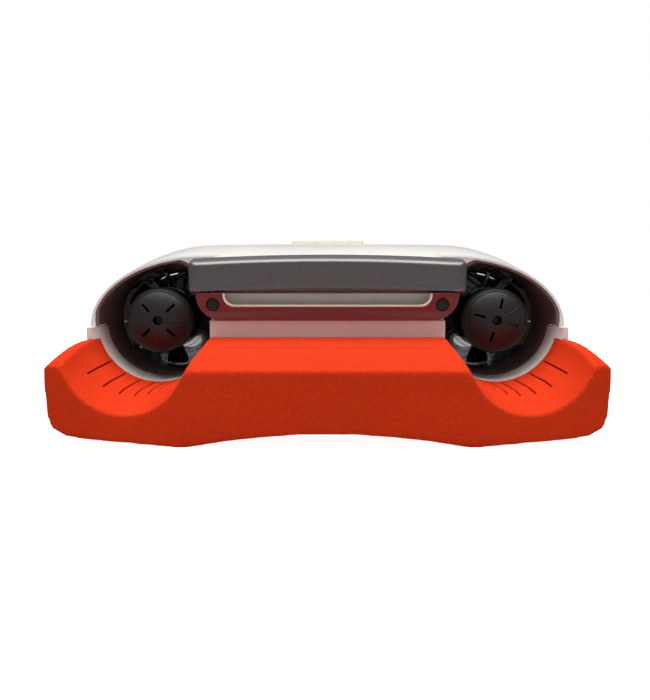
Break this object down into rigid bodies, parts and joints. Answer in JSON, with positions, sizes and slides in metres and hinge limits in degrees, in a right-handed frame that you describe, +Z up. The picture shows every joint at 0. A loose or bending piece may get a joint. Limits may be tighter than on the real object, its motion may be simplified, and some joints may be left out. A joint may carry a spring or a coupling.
{
  "type": "underwater scooter",
  "caption": "Board-shaped underwater scooter with a foam float, ducted thrusters in side tunnels, a slide-out battery, hand grips with triggers and a display.",
  "frame": {"origin": "on the ground under the middle of the scooter's box", "axes": "+X to the right seen from behind, +Y forward, +Z up with the foam float underneath"},
  "size_m": [0.396, 0.505, 0.1555],
  "materials": {
    "foam": "matte",
    "cover_white": "gloss",
    "liner_dark": "matte",
    "duct_black": "gloss",
    "cap_black": "matte",
    "gunmetal": "satin",
    "frame_red": "satin",
    "recess_beige": "satin",
    "rubber_black": "matte",
    "steel": "satin",
    "grip_tube": "satin",
    "winding_copper": "satin",
    "board_green": "satin",
    "cell_blue": "satin",
    "contact_brass": "satin",
    "lens": "gloss"
  },
  "bodies": {
    "hull": {"float_pad": "foam", "lower_cover": "cover_white", "upper_cover": "cover_white", "tunnel_liner_left": "liner_dark", "tunnel_liner_right": "liner_dark", "battery_tray": "liner_dark", "duct_left": "duct_black", "duct_right": "duct_black", "intake_grille_left": "duct_black", "intake_grille_right": "duct_black", "trigger_housing_left": "cap_black", "trigger_housing_right": "cap_black", "controller_case": "gunmetal", "rear_frame": "frame_red", "finger_recess": "recess_beige", "screw_plug_left": "rubber_black", "screw_plug_right": "rubber_black", "grip_sleeve_left": "rubber_black", "grip_sleeve_right": "rubber_black", "shaft_seal_left": "rubber_black", "shaft_seal_right": "rubber_black", "bearing_rear_left": "steel", "bearing_rear_right": "steel", "bearing_front_left": "steel", "bearing_front_right": "steel", "frame_screw_left": "steel", "frame_screw_right": "steel", "cover_screw_1": "steel", "cover_screw_2": "steel", "trigger_pin_left": "steel", "trigger_pin_right": "steel", "latch_spring": "steel", "grip_core_left": "grip_tube", "grip_core_right": "grip_tube", "stator_left": "winding_copper", "stator_right": "winding_copper", "controller_board": "board_green", "display_board": "board_green", "contact_block": "contact_brass", "display_lens": "lens"},
    "battery": {"battery_end_cap": "gunmetal", "battery_case": "liner_dark", "battery_contact_plate": "contact_brass", "battery_cells": "cell_blue", "protection_board": "board_green"},
    "latch": {"release_bar": "recess_beige"},
    "button": {"power_button": "rubber_black"},
    "propeller_left": {"propeller_left": "duct_black", "hub_cap_left": "cap_black", "hub_screw_left": "steel", "rotor_bell_left": "steel", "motor_shaft_left": "steel"},
    "trigger_left": {"trigger_left": "cap_black"},
    "propeller_right": {"propeller_right": "duct_black", "hub_cap_right": "cap_black", "hub_screw_right": "steel", "rotor_bell_right": "steel", "motor_shaft_right": "steel"},
    "trigger_right": {"trigger_right": "cap_black"}
  },
  "joints": [
    {"name": "propeller_left_spin", "type": "hinge", "parent": "hull", "child": "propeller_left", "pos_m": [-0.139, -0.1395, 0.081], "axis": [-0.0499, 0.9988, 0], "continuous": true},
    {"name": "propeller_right_spin", "type": "hinge", "parent": "hull", "child": "propeller_right", "pos_m": [0.139, -0.1395, 0.081], "axis": [0.0499, 0.9988, 0], "continuous": true},
    {"name": "battery_slide", "type": "slide", "parent": "hull", "child": "battery", "axis": [0, -1, 0], "range_m": [0, 0.24]},
    {"name": "latch_slide", "type": "slide", "parent": "hull", "child": "latch", "axis": [0, 1, 0], "range_m": [0, 0.006], "stiffness_N_per_m": 400, "springref_m": -0.002},
    {"name": "power_button_press", "type": "slide", "parent": "hull", "child": "button", "axis": [0, -0.1309, -0.9914], "range_m": [0, 0.0012], "stiffness_N_per_m": 1500, "springref_m": -0.0005},
    {"name": "trigger_left_squeeze", "type": "hinge", "parent": "hull", "child": "trigger_left", "pos_m": [-0.10958, 0.15835, 0.062], "axis": [0, 0, -1], "range_deg": [0, 8], "stiffness_Nm_per_rad": 0.8, "springref_deg": -4.58},
    {"name": "trigger_right_squeeze", "type": "hinge", "parent": "hull", "child": "trigger_right", "pos_m": [0.10958, 0.15835, 0.062], "axis": [0, 0, 1], "range_deg": [0, 8], "stiffness_Nm_per_rad": 0.8, "springref_deg": -4.58}
  ]
}
